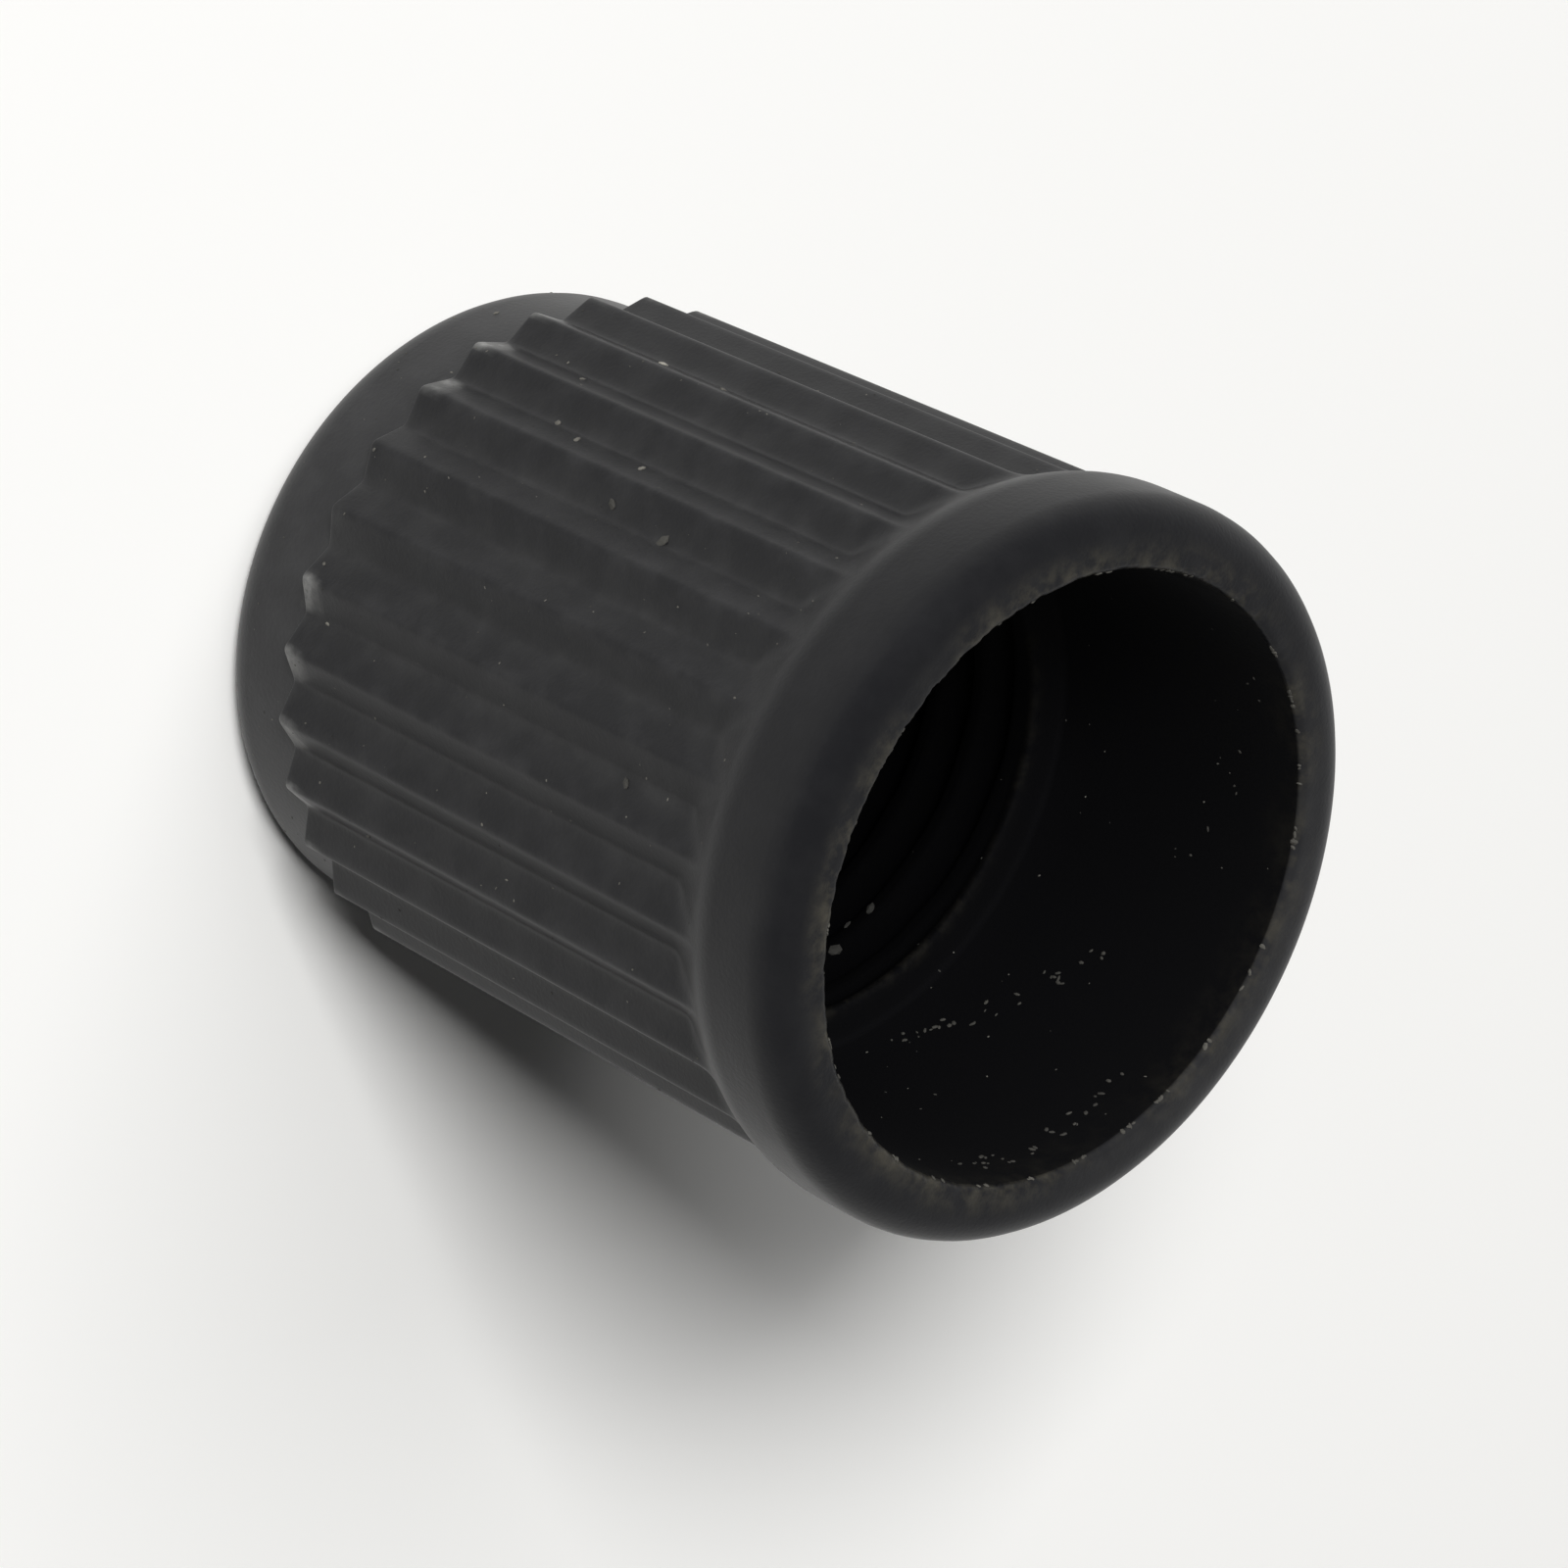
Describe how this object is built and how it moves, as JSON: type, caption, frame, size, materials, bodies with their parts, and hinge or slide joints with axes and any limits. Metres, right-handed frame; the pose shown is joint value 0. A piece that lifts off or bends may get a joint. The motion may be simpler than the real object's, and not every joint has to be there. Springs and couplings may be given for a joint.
{
  "type": "tyre valve cap",
  "caption": "Moulded black plastic tyre valve cap with grip ribs, a smooth collar round the mouth and a blind threaded hole that screws onto a valve stem to keep dirt out.",
  "frame": {"origin": "centre of the closed end, on the surface that the cap stands on", "axes": "+Z along the cap's axis, out of the mouth; +X through the middle of a rib"},
  "size_m": [0.01, 0.01, 0.012],
  "materials": {
    "black_plastic": "satin moulded black plastic"
  },
  "bodies": {
    "root": {"valve_cap": "black_plastic"}
  },
  "joints": []
}
